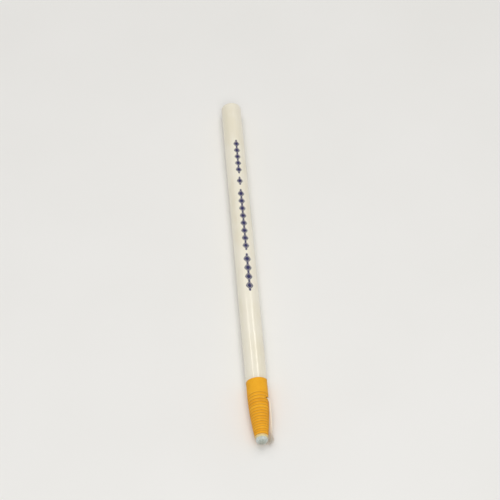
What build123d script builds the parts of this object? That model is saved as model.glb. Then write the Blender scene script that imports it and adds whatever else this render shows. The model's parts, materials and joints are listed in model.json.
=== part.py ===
from build123d import *
import math
import os

# A peel-off china marker: a wax core in a wound paper casing, with a pull string and a white jacket.
# Lengths are in millimetres and angles in degrees. The marker lies along X on the plane Z = 0, with its
# writing tip towards +X. The pieces are drawn round the X axis and lifted to their height when written.

# Barrel
overall_length = 181.0  # rear face to the tip of the core
barrel_diameter = 9.0  # over the white jacket
jacket_wall = 0.15  # coated paper wrap
bond_gap = 0.02  # glue line between the core, the casing and the jacket
end_round = 0.9  # rounding of the rear rim
seal_wall = 0.25  # lacquer over the rear end

# Core
core_diameter = 4.8
core_reach = 3.0  # how far the core stands out of the paper
core_dome = 1.2  # height of the rounded writing end

# Paper nose
nose_length = 26.0  # paper that shows in front of the jacket
band_length = 5.8  # smooth band between the jacket and the taper
nose_front_diameter = 5.5  # paper rim round the core
nose_bulge = 0.36  # how far the taper swells out from a straight cone
first_lap = 1.55  # along the nose between the first two bared edges of the wound strip
last_lap = 0.95  # between the last two, at the rim
edge_depth = 0.08  # relief under the bared edge of each lap
edge_width = 0.5  # how wide the cut for that relief is along the taper
edge_margin = 0.03  # how far the cut stands clear of the taper outside
winding_start = 250.0  # where the first bared edge begins, round from straight up towards +Y; it winds back

# Pull string
string_diameter = 0.9
string_gap = 0.04  # round the string in its channel
string_web = 0.1  # paper between the core and the string
string_angle = 72.0  # round the barrel from straight up towards +Y
string_exit = 10.2  # from the jacket's edge to the fold where the tail begins
string_rise = 25.0  # angle at which the string climbs out of the paper
string_bend = 3.0  # bend radius where it starts to climb
fold_back = 158.0  # how far the tail turns back from lying along the nose
tail_gap = 0.1  # between the tail's root and the paper
tail_lift = 1.05  # how far the end of the twisted cord stands off the taper
tail_bow = 0.3  # how far the tail swells out between its ends
tail_turn = 9.3  # angle by which the tail heads down the side of the nose
tail_length = 17.9  # fold to the end of the frayed tuft

# Frayed tuft at the end of the tail
tuft_length = 5.0
tuft_width = 3.2
tuft_lift = 1.5  # how far its tips stand off the paper
strand_count = 5
strand_diameter = 0.36  # where it leaves the cord
strand_tip_diameter = 0.24
strand_sides = 6

# Starting slit beside the string's exit
slit_length = 2.2
slit_width = 0.4
slit_depth = 0.5

# How finely the taper and its spiral are laid out; the cut runs on past the rim
taper_rings = 5
pairs_per_turn = 2
overrun_turns = 0.75

# Radii and widths that the pieces share
barrel_radius = barrel_diameter / 2
casing_radius = barrel_radius - jacket_wall
core_radius = core_diameter / 2
bore_radius = core_radius + bond_gap
front_radius = nose_front_diameter / 2
end_chamfer = end_round - jacket_wall
string_radius = string_diameter / 2
channel_radius = string_radius + string_gap
channel_centre = bore_radius + string_web + channel_radius

# Stations along the axis
tip = overall_length / 2
rear = tip - overall_length
casing_rear = rear + seal_wall
jacket_rear = rear + seal_wall + end_round
rim = tip - core_reach
jacket_front = rim - nose_length
taper_start = jacket_front + band_length
fold = jacket_front + string_exit

# Turns of the bared edge on the taper, with laps that shorten evenly towards the rim
taper_turns = 2 * (rim - taper_start) / (first_lap + last_lap)
lap_change = (first_lap - last_lap) / taper_turns

# Arc of the taper's outline, from the smooth band to the rim
chord = Vector(rim - taper_start, front_radius - casing_radius)
taper_arc_radius = (chord.length**2 / 4 + nose_bulge**2) / (2 * nose_bulge)
outward = Vector(-chord.Y, chord.X).normalized()
arc_centre = Vector(taper_start, casing_radius) + chord / 2 - outward * (taper_arc_radius - nose_bulge)


def taper_radius(station):
    """Radius of the taper's outline at that place along the axis."""
    return arc_centre.Y + math.sqrt(taper_arc_radius**2 - (station - arc_centre.X) ** 2)


def heading(angle):
    """Unit vector in a plane along the axis, turned from +X outwards."""
    turned = math.radians(angle)
    return Vector(math.cos(turned), math.sin(turned))


def radial(angle):
    """Unit vector square to the axis, turned from straight up towards +Y."""
    turned = math.radians(angle)
    return Vector(0, math.sin(turned), math.cos(turned))


# Plane of the string, which holds the axis and the line on which the string climbs out of the paper
string_plane = Plane(
    origin=(0, 0, 0), x_dir=(1, 0, 0), z_dir=Vector(1, 0, 0).cross(radial(string_angle))
)
fold_radius = taper_radius(fold) + string_radius + tail_gap
fold_point = Vector(fold, fold_radius)
climb = heading(string_rise)
exit_station = fold - (fold_radius - casing_radius) * climb.X / climb.Y

# Plane of the tail, with X measured from the fold
tail_ahead = Vector(math.cos(math.radians(tail_turn)), 0, 0)
tail_ahead -= string_plane.z_dir * math.sin(math.radians(tail_turn))
tail_plane = Plane(origin=(fold, 0, 0), x_dir=tail_ahead, z_dir=tail_ahead.cross(radial(string_angle)))


def tail_spot(along, clear):
    """Point in the plane of the tail, that far from the fold and clear of the paper by that much."""
    spot = tail_ahead * along
    reach = taper_radius(min(fold + spot.X, rim)) + clear
    return Vector(along, math.sqrt(reach**2 - spot.Y**2 - spot.Z**2))


# Line of the tail, which stands off the taper in a shallow bow
tail_root = Vector(0, fold_radius)
cord_end = tail_spot(tail_length - tuft_length, string_radius + tail_lift)
tail_chord = cord_end - tail_root
tail_middle = tail_root + tail_chord / 2 + Vector(-tail_chord.Y, tail_chord.X).normalized() * tail_bow
tail_slope = math.degrees(math.atan2(tail_chord.Y, tail_chord.X))
tail_bend = math.degrees(2 * math.atan2(2 * tail_bow, tail_chord.length))


def axis_plane(station):
    """Plane square to the axis at that place along it."""
    return Plane(origin=(station, 0, 0), z_dir=(1, 0, 0))


def turned_solid(outline):
    """Solid of revolution about the X axis from an outline in the XY plane."""
    return revolve(make_face(outline), Axis.X)


def wax_core():
    """Round wax stick with a blunt, domed writing end."""
    dome_start = tip - core_dome
    dome_radius = (core_radius**2 + core_dome**2) / (2 * core_dome)
    half_angle = math.asin(min(1.0, core_radius / dome_radius)) / 2
    on_dome = (tip - dome_radius * (1 - math.cos(half_angle)), dome_radius * math.sin(half_angle))
    return turned_solid(
        [
            Polyline((tip, 0), (casing_rear, 0), (casing_rear, core_radius), (dome_start, core_radius)),
            ThreePointArc((dome_start, core_radius), on_dome, (tip, 0)),
        ]
    )


def casing_blank():
    """Paper tube with the ground taper at the front and a chamfered rear rim, before its cuts."""
    barrel = turned_solid(
        Polyline(
            (taper_start, 0), (casing_rear, 0), (casing_rear, casing_radius - end_chamfer),
            (casing_rear + end_chamfer, casing_radius), (taper_start, casing_radius), close=True,
        )
    )
    step = (rim - taper_start) / (taper_rings - 1)
    stations = [taper_start + i * step for i in range(taper_rings)]
    taper = loft([axis_plane(station) * Circle(taper_radius(station)) for station in stations])
    bore = extrude(axis_plane(casing_rear) * Circle(bore_radius), amount=rim - casing_rear)
    return barrel + taper - bore


def winding_point(turns, along, out):
    """Point on a rail of the spiral cut, set off from the bared edge along the axis and outwards.

    Each lap is a little shorter than the one before, and the first turn fades in.
    """
    station = taper_start + first_lap * turns - lap_change * turns**2 / 2 + along
    fade_in = edge_depth * max(0.0, 1 - turns)
    reach = taper_radius(station) + fade_in + out
    return Vector(station, 0, 0) + radial(winding_start - 360 * turns) * reach


def winding_tangent(turns, along, out):
    """Direction of that rail there."""
    step = 1e-4
    return (winding_point(turns + step, along, out) - winding_point(turns - step, along, out)).normalized()


def tangent_pair(start, start_direction, end, end_direction):
    """Two arcs that leave start and reach end in the given directions and meet smoothly."""
    span = end - start
    both = start_direction + end_direction
    bend = 2 * (1 - start_direction.dot(end_direction))
    along = span.dot(both)
    reach = (math.sqrt(along**2 + bend * span.dot(span)) - along) / bend
    middle = (start + start_direction * reach + end - end_direction * reach) / 2
    first = Edge.make_tangent_arc(start, start_direction, middle)
    return [first, Edge.make_tangent_arc(middle, first.tangent_at(1), end)]


def winding_rail(along, out):
    """Arcs of one rail of the spiral cut, from the start of the taper to past the rim."""
    arcs = []
    for i in range(math.ceil((taper_turns + overrun_turns) * pairs_per_turn)):
        start = i / pairs_per_turn
        end = (i + 1) / pairs_per_turn
        arcs += tangent_pair(
            winding_point(start, along, out),
            winding_tangent(start, along, out),
            winding_point(end, along, out),
            winding_tangent(end, along, out),
        )
    return arcs


def winding_cut():
    """Spiral relief that bares the edge of each lap on the taper, ruled between three rails."""
    foot = winding_rail(0, -edge_depth)
    lip = winding_rail(0, edge_margin)
    far = winding_rail(edge_width, edge_margin)
    faces = []
    for one, two in ((foot, lip), (lip, far), (far, foot)):
        faces += [Face.make_surface_from_curves(a, b) for a, b in zip(one, two)]
    rails = (foot, lip, far)
    faces.append(Face(Wire.make_polygon([arcs[0] @ 0 for arcs in rails], close=True)))
    faces.append(Face(Wire.make_polygon([arcs[-1] @ 1 for arcs in rails], close=True)))
    return Solid(Shell(faces))


def string_tube(radius, start_station, past_fold):
    """Tube along the string's way: straight beside the core, then climbing out through the paper."""
    bend_point = fold_point - climb * ((fold_radius - channel_centre) / climb.Y)
    path = string_plane * FilletPolyline(
        (start_station, channel_centre), bend_point, fold_point + climb * past_fold, radius=string_bend
    )
    section = Plane(origin=path @ 0, z_dir=path % 0) * Circle(radius)
    return sweep(section, path=path)


def starting_slit():
    """Short cut round the nose that ends at the string's exit and starts the peeling."""
    surface = casing_radius + edge_depth
    floor = casing_radius - slit_depth
    outline = Polyline(
        (exit_station - slit_width, floor),
        (exit_station, floor),
        (exit_station, surface),
        (exit_station - slit_width, surface),
        close=True,
    )
    turned = math.degrees((channel_radius + slit_length) / casing_radius)
    return revolve(string_plane * make_face(outline), Axis.X, revolution_arc=turned)


def paper_casing():
    """Strip of paper wound into a tube, ground to a taper, with the string's channel in its wall."""
    channel = string_tube(channel_radius, casing_rear - end_round, barrel_radius)
    return casing_blank() - winding_cut() - channel - starting_slit()


def pull_string_run():
    """The string where the casing holds it, from the rear end to the fold, slanted to let the tail turn."""
    clear = string_radius + tail_gap
    ball = string_plane * Pos(fold_point) * Sphere(clear)
    turned_back = Rot(0, 0, tail_slope + tail_bend + fold_back)
    room = Box(2 * tail_length, tail_length, tail_length, align=(Align.CENTER, Align.MAX, Align.CENTER))
    sweep_room = string_plane * Pos(fold_point) * turned_back * Pos(0, clear, 0) * room
    return string_tube(string_radius, casing_rear, 0) - ball - sweep_room


def tuft_strand(share):
    """One loose strand of the tuft; its share runs from -1 to 1 across the tuft's width."""
    root_radius = strand_diameter / 2
    tip_radius = strand_tip_diameter / 2
    sideways = tail_plane.z_dir * share
    root = tail_plane.from_local_coords(cord_end - heading(tail_slope - tail_bend) * string_diameter)
    root += sideways * (string_radius - root_radius)
    strand_tip = tail_plane.from_local_coords(tail_spot(tail_length, tip_radius + tuft_lift))
    strand_tip += sideways * (tuft_width / 2 - tip_radius)
    along = strand_tip - root
    root_plane = Plane(origin=root, x_dir=tail_plane.z_dir.cross(along), z_dir=along)
    tip_plane = root_plane.offset(along.length)
    sections = [
        root_plane * RegularPolygon(root_radius, strand_sides),
        tip_plane * RegularPolygon(tip_radius, strand_sides),
    ]
    return loft(sections, ruled=True)


def pull_string_tail():
    """The string's free tail, lying forward along the taper and frayed at its end."""
    path = tail_plane * ThreePointArc(tail_root, tail_middle, cord_end)
    root_plane = Plane(origin=path @ 0, z_dir=path % 0)
    tube = sweep(root_plane * Circle(string_radius), path=path)
    root = split(root_plane * Sphere(string_radius), bisect_by=root_plane, keep=Keep.BOTTOM)
    shares = [2 * i / (strand_count - 1) - 1 for i in range(strand_count)]
    return root + tube + [tuft_strand(share) for share in shares]


def outer_jacket():
    """Thin white wrap round the casing, from the rear seal to the nose."""
    inner = casing_radius + bond_gap
    return turned_solid(
        Polyline(
            (jacket_rear, inner), (jacket_front, inner), (jacket_front, barrel_radius),
            (jacket_rear, barrel_radius), close=True,
        )
    )


def end_seal():
    """Lacquer cup over the rear ends of the core, the string and the casing."""
    centre = Vector(rear + end_round, barrel_radius - end_round)
    corner = ThreePointArc(
        (rear, barrel_radius - end_round),
        centre + Vector(-end_round, end_round) * math.sqrt(0.5),
        (rear + end_round, barrel_radius),
    )
    inside = Polyline(
        (rear + end_round, barrel_radius), (jacket_rear, barrel_radius), (jacket_rear, casing_radius),
        (casing_rear + end_chamfer, casing_radius), (casing_rear, casing_radius - end_chamfer),
        (casing_rear, 0), (rear, 0), (rear, barrel_radius - end_round),
    )
    return turned_solid([corner, inside])


def main():
    """Build every piece and write it as a file of its own."""
    pieces = {
        "wax_core": wax_core(),
        "paper_casing": paper_casing(),
        "pull_string_run": pull_string_run(),
        "pull_string_tail": pull_string_tail(),
        "outer_jacket": outer_jacket(),
        "end_seal": end_seal(),
    }
    os.makedirs("parts", exist_ok=True)
    for name, piece in pieces.items():
        export_step(Pos(0, 0, barrel_radius) * piece, os.path.join("parts", name + ".step"))
    hinge = string_plane.from_local_coords(fold_point) + Vector(0, 0, barrel_radius)
    print("string fold at", tuple(round(value, 4) for value in hinge))
    print("hinge axis", tuple(round(value, 5) for value in string_plane.z_dir))


main()
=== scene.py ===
"""The looks of a peel-off china marker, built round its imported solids.

Lengths are in metres, in the frame of the solids: the marker lies along X on the plane Z = 0, with its
writing tip towards +X. An angle round the barrel is in radians, from straight up towards +Y.
"""

import json
import logging
import math
from abc import ABC, abstractmethod
from dataclasses import dataclass, fields
from enum import Enum
from typing import ClassVar, Optional, Union

import bmesh
import bpy
from mathutils import Color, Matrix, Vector


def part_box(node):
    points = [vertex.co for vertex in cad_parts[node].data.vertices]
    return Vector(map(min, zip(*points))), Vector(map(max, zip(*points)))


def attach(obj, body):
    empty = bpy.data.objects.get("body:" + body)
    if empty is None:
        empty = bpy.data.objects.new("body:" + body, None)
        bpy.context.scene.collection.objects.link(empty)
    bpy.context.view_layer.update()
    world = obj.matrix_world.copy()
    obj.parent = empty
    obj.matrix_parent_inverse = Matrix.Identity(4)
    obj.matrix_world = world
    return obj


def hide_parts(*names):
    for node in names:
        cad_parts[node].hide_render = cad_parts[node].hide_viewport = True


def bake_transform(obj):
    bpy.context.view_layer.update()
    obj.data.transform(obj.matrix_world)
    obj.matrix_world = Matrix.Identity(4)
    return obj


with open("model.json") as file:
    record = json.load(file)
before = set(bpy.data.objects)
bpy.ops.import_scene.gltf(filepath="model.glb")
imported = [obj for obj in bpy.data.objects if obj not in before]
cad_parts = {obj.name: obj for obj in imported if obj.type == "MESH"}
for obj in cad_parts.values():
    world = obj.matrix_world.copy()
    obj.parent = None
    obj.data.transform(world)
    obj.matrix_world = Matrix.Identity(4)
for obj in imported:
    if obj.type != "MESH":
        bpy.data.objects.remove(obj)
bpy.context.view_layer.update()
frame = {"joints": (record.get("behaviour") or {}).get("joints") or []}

MM = 0.001
TURN = 2 * math.pi
CREASE = math.radians(35)
UNIT = (0.0, 1.0)
LOG = logging.getLogger("marker")

Key = Union[int, str]
Number = Union[float, "Term"]
Paint = Union[str, "Term"]
Span = tuple[float, float]
Weights = tuple[float, ...]
Place = tuple[float, float, float]
Outline = list[tuple[float, float]]


class Body(Enum):
    """Bodies that a piece can ride on."""

    BARREL = "barrel"
    TAIL = "string_tail"


class Slot(Enum):
    """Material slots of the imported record."""

    WAX = "wax"
    PAPER = "wound_paper"
    COTTON = "cotton"
    JACKET = "jacket"
    LACQUER = "lacquer"


class Mark(Enum):
    """Values that the string's mesh carries for its finish."""

    TONE = "yarn_tone"
    FRAYED = "frayed"


class Draw(Enum):
    """Random draws of the string, each with its own offset to the seed."""

    YARN_SPREAD = 1
    YARN_LIFT = 2
    YARN_WAVE = 3
    YARN_END = 4
    YARN_TONE = 5
    FIBRE_WAVE = 11
    FIBRE_SPREAD = 12
    FIBRE_LIFT = 13
    FIBRE_START = 14
    FIBRE_END = 15
    FIBRE_TONE = 16
    HAIR_START = 21
    HAIR_LENGTH = 22
    HAIR_CLOCK = 23
    HAIR_REACH = 24
    HAIR_TONE = 25


@dataclass(frozen=True)
class Grain:
    """Size of a cloudy noise along the marker and across it, and how many finer layers it has."""

    along: float
    across: float
    layers: float = 2.0


def linear(code: str) -> tuple[float, float, float, float]:
    """Turns an sRGB hex code, as "EEE7CD", into a scene-linear colour with an alpha of 1."""
    channels = [channel / 255 for channel in bytes.fromhex(code)]
    return (*Color(channels).from_srgb_to_scene_linear(), 1.0)


class Term:
    """A socket of a node tree that can stand in a Python expression."""

    def __init__(self, sketch: "Sketch", socket: bpy.types.NodeSocket) -> None:
        """Keeps the socket and the sketch that new nodes go into."""
        self.sketch = sketch
        self.socket = socket

    def other(self, output: Key) -> "Term":
        """Another output of the same node."""
        return Term(self.sketch, self.socket.node.outputs[output])

    def __add__(self, value: Number) -> "Term":
        """This plus a value."""
        return self.sketch.math("ADD", self, value)

    def __radd__(self, value: Number) -> "Term":
        """A value plus this."""
        return self.sketch.math("ADD", value, self)

    def __sub__(self, value: Number) -> "Term":
        """This minus a value."""
        return self.sketch.math("SUBTRACT", self, value)

    def __rsub__(self, value: Number) -> "Term":
        """A value minus this."""
        return self.sketch.math("SUBTRACT", value, self)

    def __mul__(self, value: Number) -> "Term":
        """This times a value."""
        return self.sketch.math("MULTIPLY", self, value)

    def __rmul__(self, value: Number) -> "Term":
        """A value times this."""
        return self.sketch.math("MULTIPLY", value, self)

    def __truediv__(self, value: Number) -> "Term":
        """This divided by a value."""
        return self.sketch.math("DIVIDE", self, value)

    def __rtruediv__(self, value: Number) -> "Term":
        """A value divided by this."""
        return self.sketch.math("DIVIDE", value, self)

    def __pow__(self, value: Number) -> "Term":
        """This to a power."""
        return self.sketch.math("POWER", self, value)

    def __rpow__(self, value: Number) -> "Term":
        """A value to the power of this."""
        return self.sketch.math("POWER", value, self)


class Sketch:
    """Adds nodes to one node tree, of a material or of a shape."""

    MIX_FIRST: ClassVar[int] = 6
    MIX_SECOND: ClassVar[int] = 7
    MIX_RESULT: ClassVar[int] = 2

    def __init__(self, tree: bpy.types.NodeTree) -> None:
        """Keeps the tree."""
        self.tree = tree

    def feed(self, socket: bpy.types.NodeSocket, value: object) -> None:
        """Links a term into a socket, or sets the socket to a plain value.

        Args:
            socket: Input of a node.
            value: The term or the plain value.
        """
        if isinstance(value, Term):
            self.tree.links.new(value.socket, socket)
        else:
            socket.default_value = value

    def add(
        self,
        kind: str,
        settings: Optional[dict[str, object]] = None,
        sockets: Optional[dict[Key, object]] = None,
        output: Key = 0,
    ) -> Term:
        """Adds a node of any kind.

        Args:
            kind: Blender's name for the node's type.
            settings: The node's own properties, which are set first.
            sockets: Values or terms for its inputs, by name or number.
            output: Which of its outputs to return.

        Returns:
            That output.
        """
        node = self.tree.nodes.new(kind)
        for name, value in (settings or {}).items():
            setattr(node, name, value)
        for key, value in (sockets or {}).items():
            self.feed(node.inputs[key], value)
        return Term(self, node.outputs[output])

    def math(self, operation: str, *values: Number) -> Term:
        """Adds a Math node on one to three values."""
        return self.add("ShaderNodeMath", {"operation": operation}, dict(enumerate(values)))

    def mix(self, share: Number, first: Paint, second: Paint) -> Term:
        """Mixes two colours.

        Args:
            share: How much of the second colour there is, from 0 to 1.
            first: A term or an sRGB hex code.
            second: A term or an sRGB hex code.

        Returns:
            The mixed colour.
        """
        first, second = [linear(paint) if isinstance(paint, str) else paint for paint in (first, second)]
        sockets = {0: share, self.MIX_FIRST: first, self.MIX_SECOND: second}
        return self.add("ShaderNodeMix", {"data_type": "RGBA"}, sockets, self.MIX_RESULT)

    def smooth(self, value: Term, low: Number, high: Number) -> Term:
        """Rises softly from 0 at low to 1 at high; low may be the larger one."""
        sockets = dict(enumerate((value, low, high, *UNIT)))
        return self.add("ShaderNodeMapRange", {"interpolation_type": "SMOOTHSTEP"}, sockets)

    def weighed(self, weights: Weights, *terms: Term) -> Term:
        """Sum of terms, each times its weight."""
        first, *others = [term * weight for term, weight in zip(terms, weights)]
        return sum(others, first)

    def split(self, vector: Term) -> tuple[Term, Term, Term]:
        """The three parts of a vector."""
        first = self.add("ShaderNodeSeparateXYZ", sockets={0: vector})
        return first, first.other(1), first.other(2)

    def join(self, *parts: Number) -> Term:
        """A vector from its three parts."""
        return self.add("ShaderNodeCombineXYZ", sockets=dict(enumerate(parts)))

    def noise(self, place: Term, grain: Grain) -> Term:
        """Cloudy noise round 0.5.

        Args:
            place: Where it is read.
            grain: Size of its clouds.

        Returns:
            The noise.
        """
        finer = (1 / grain.along, 1 / grain.across, 1 / grain.across)
        stretched = self.add("ShaderNodeVectorMath", {"operation": "MULTIPLY"}, {0: place, 1: finer})
        sockets = {"Vector": stretched, "Scale": 1.0, "Detail": grain.layers}
        return self.add("ShaderNodeTexNoise", sockets=sockets)


class Surface(Sketch):
    """Sketch of one material, with its shader at hand."""

    def __init__(self, name: str) -> None:
        """Makes an empty material of that name."""
        self.material = bpy.data.materials.new(name)
        self.material.use_nodes = True
        super().__init__(self.material.node_tree)
        self.shader = self.tree.nodes["Principled BSDF"]
        self.place = self.add("ShaderNodeTexCoord", output="Object")

    def wire(self, sockets: dict[str, object]) -> None:
        """Sets or links sockets of the shader."""
        for name, value in sockets.items():
            self.feed(self.shader.inputs[name], value)

    def relief(self, height: Term, depth: float) -> None:
        """Gives the surface a fine relief of that depth."""
        sockets = {"Strength": 1.0, "Distance": depth, "Height": height}
        self.wire({"Normal": self.add("ShaderNodeBump", sockets=sockets)})

    def grained(self, grain: Grain) -> Term:
        """Cloudy noise over the surface."""
        return self.noise(self.place, grain)

    def marked(self, mark: Mark) -> Term:
        """A value that the mesh carries."""
        return self.add("ShaderNodeAttribute", {"attribute_name": mark.value}, output="Fac")

    def round_axis(self, axis_height: float) -> tuple[Term, Term, Term]:
        """Reads the surface's place in the barrel's own directions.

        Args:
            axis_height: Height of the barrel's axis.

        Returns:
            Station along the axis, angle round it and reach from it.
        """
        station, side, height = self.split(self.place)
        rise = height - axis_height
        return station, self.math("ARCTAN2", side, rise), (side * side + rise * rise) ** 0.5


class Shape(Sketch):
    """Sketch of a Geometry Nodes tree with named sizes."""

    def __init__(self, name: str) -> None:
        """Makes an empty tree of that name."""
        super().__init__(bpy.data.node_groups.new(name, "GeometryNodeTree"))
        for direction in ("INPUT", "OUTPUT"):
            self.tree.interface.new_socket("Geometry", in_out=direction, socket_type="NodeSocketGeometry")
        self.source = self.tree.nodes.new("NodeGroupInput")
        self.identifiers: dict[str, str] = {}
        self.sizes: dict[str, float] = {}

    @property
    def geometry(self) -> Term:
        """The geometry of the object that the tree runs on."""
        return Term(self, self.source.outputs["Geometry"])

    def size(self, name: str, value: float) -> Term:
        """Adds a named size.

        Args:
            name: Name of the input.
            value: What it is set to unless a run says otherwise; a whole number makes a count.

        Returns:
            The size, for use in the tree.
        """
        kind = "NodeSocketInt" if isinstance(value, int) else "NodeSocketFloat"
        entry = self.tree.interface.new_socket(name, in_out="INPUT", socket_type=kind)
        self.identifiers[name] = entry.identifier
        self.sizes[name] = value
        return Term(self, self.source.outputs[name])

    def round_place(self, station: Number, reach: Number, angle: Term, axis_height: Number) -> Term:
        """Place at a station along the barrel.

        Args:
            station: Place along the axis.
            reach: Distance from the axis.
            angle: Angle round it.
            axis_height: Height of the axis.

        Returns:
            The place, as a vector.
        """
        height = axis_height + reach * self.math("COSINE", angle)
        return self.join(station, reach * self.math("SINE", angle), height)

    def close(self, parts: list[Term], material: bpy.types.Material) -> None:
        """Ends the tree: joins its parts and makes them real.

        Args:
            parts: Geometry that comes out of the tree.
            material: Finish of all of it.
        """
        joint = self.tree.nodes.new("GeometryNodeJoinGeometry")
        for part in parts:
            self.feed(joint.inputs[0], part)
        real = self.add("GeometryNodeRealizeInstances", sockets={0: Term(self, joint.outputs[0])})
        dressed = self.add("GeometryNodeSetMaterial", sockets={"Geometry": real, "Material": material})
        self.feed(self.tree.nodes.new("NodeGroupOutput").inputs[0], dressed)

    def run(self, host: bpy.types.Object, changed: Optional[dict[str, float]] = None) -> bpy.types.Mesh:
        """Runs the tree on an object, which is then removed.

        Args:
            host: Object whose geometry goes in.
            changed: Sizes that differ in this run, by name.

        Returns:
            The result as a plain mesh.
        """
        modifier = host.modifiers.new(self.tree.name, "NODES")
        modifier.node_group = self.tree
        for name, value in {**self.sizes, **(changed or {})}.items():
            modifier[self.identifiers[name]] = value
        mesh = plain_mesh(host)
        host.modifiers.remove(modifier)
        bpy.data.objects.remove(host)
        return mesh


def plain_mesh(host: bpy.types.Object) -> bpy.types.Mesh:
    """The mesh of an object as its modifiers make it."""
    depsgraph = bpy.context.evaluated_depsgraph_get()
    return bpy.data.meshes.new_from_object(host.evaluated_get(depsgraph))


def placed(name: str, data: bpy.types.ID) -> bpy.types.Object:
    """Puts a new object at the origin of the scene.

    Args:
        name: Name of the object.
        data: Its mesh, curve, lamp or camera.

    Returns:
        The object.
    """
    item = bpy.data.objects.new(name, data)
    bpy.context.scene.collection.objects.link(item)
    return item


def round_point(station: float, reach: float, angle: float, axis_height: float) -> Vector:
    """Point at a station along the barrel, a reach from its axis and an angle round it."""
    return Vector((station, reach * math.sin(angle), axis_height + reach * math.cos(angle)))


def arc(centre: tuple[float, float], radius: float, start: float, end: float, steps: int) -> Outline:
    """Points of a round corner in an outline.

    Args:
        centre: Station and reach of its centre.
        radius: Its radius.
        start: Angle where it begins, from the direction of +X towards larger reach.
        end: Angle where it ends.
        steps: How many spans it has.

    Returns:
        The points, both ends included.
    """
    angles = [start + (end - start) * i / steps for i in range(steps + 1)]
    return [(centre[0] + radius * math.cos(a), centre[1] + radius * math.sin(a)) for a in angles]


def finished_mesh(name: str, form: bmesh.types.BMesh) -> bpy.types.Mesh:
    """Writes a form out as a mesh.

    Args:
        name: Name of the mesh.
        form: The form, which is used up.

    Returns:
        The mesh, with its faces outwards.
    """
    bmesh.ops.recalc_face_normals(form, faces=form.faces)
    mesh = bpy.data.meshes.new(name)
    form.to_mesh(mesh)
    form.free()
    return mesh


def turned_mesh(name: str, outline: Outline, axis_height: float, segments: int) -> bpy.types.Mesh:
    """Closed mesh of revolution round the barrel's axis.

    Args:
        name: Name of the mesh.
        outline: Stations and reaches; an outline that begins and ends on the axis gets poles there.
        axis_height: Height of the axis.
        segments: How many faces go round.

    Returns:
        The mesh, with its faces outwards.
    """
    form = bmesh.new()
    angles = [TURN * i / segments for i in range(segments)]
    rings = []
    for station, reach in outline:
        ring_angles = angles if reach else angles[:1]
        rings.append([form.verts.new(round_point(station, reach, a, axis_height)) for a in ring_angles])
    pairs = list(zip(rings, rings[1:]))
    if len(rings[0]) > 1:
        pairs.append((rings[-1], rings[0]))
    for one, two in pairs:
        for i in range(segments):
            j = i + 1
            corners = (one[i % len(one)], one[j % len(one)], two[j % len(two)], two[i % len(two)])
            form.faces.new(list(dict.fromkeys(corners)))
    return finished_mesh(name, form)


@dataclass(frozen=True)
class Layout:
    """Stations along the barrel and radii that several pieces share."""

    axis_height: float
    barrel_radius: float
    casing_radius: float
    core_radius: float
    rear: float
    casing_rear: float
    jacket_rear: float
    jacket_front: float
    rim: float
    tip: float
    fold: Vector
    string_angle: float
    fold_reach: float

    @classmethod
    def from_frame(cls) -> "Layout":
        """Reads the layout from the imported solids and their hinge.

        Returns:
            The layout.
        """
        jacket_low, jacket_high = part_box("outer_jacket")
        casing_low, casing_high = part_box("paper_casing")
        core_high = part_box("wax_core")[1]
        axis_height = jacket_high.y
        fold = Vector(frame["joints"][0]["pos_m"])
        rise = fold.z - axis_height
        return cls(
            axis_height=axis_height,
            barrel_radius=jacket_high.y,
            casing_radius=casing_high.y,
            core_radius=core_high.y,
            rear=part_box("end_seal")[0].x,
            casing_rear=casing_low.x,
            jacket_rear=jacket_low.x,
            jacket_front=jacket_high.x,
            rim=casing_high.x,
            tip=core_high.x,
            fold=fold,
            string_angle=math.atan2(fold.y, rise),
            fold_reach=math.hypot(fold.y, rise),
        )


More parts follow.
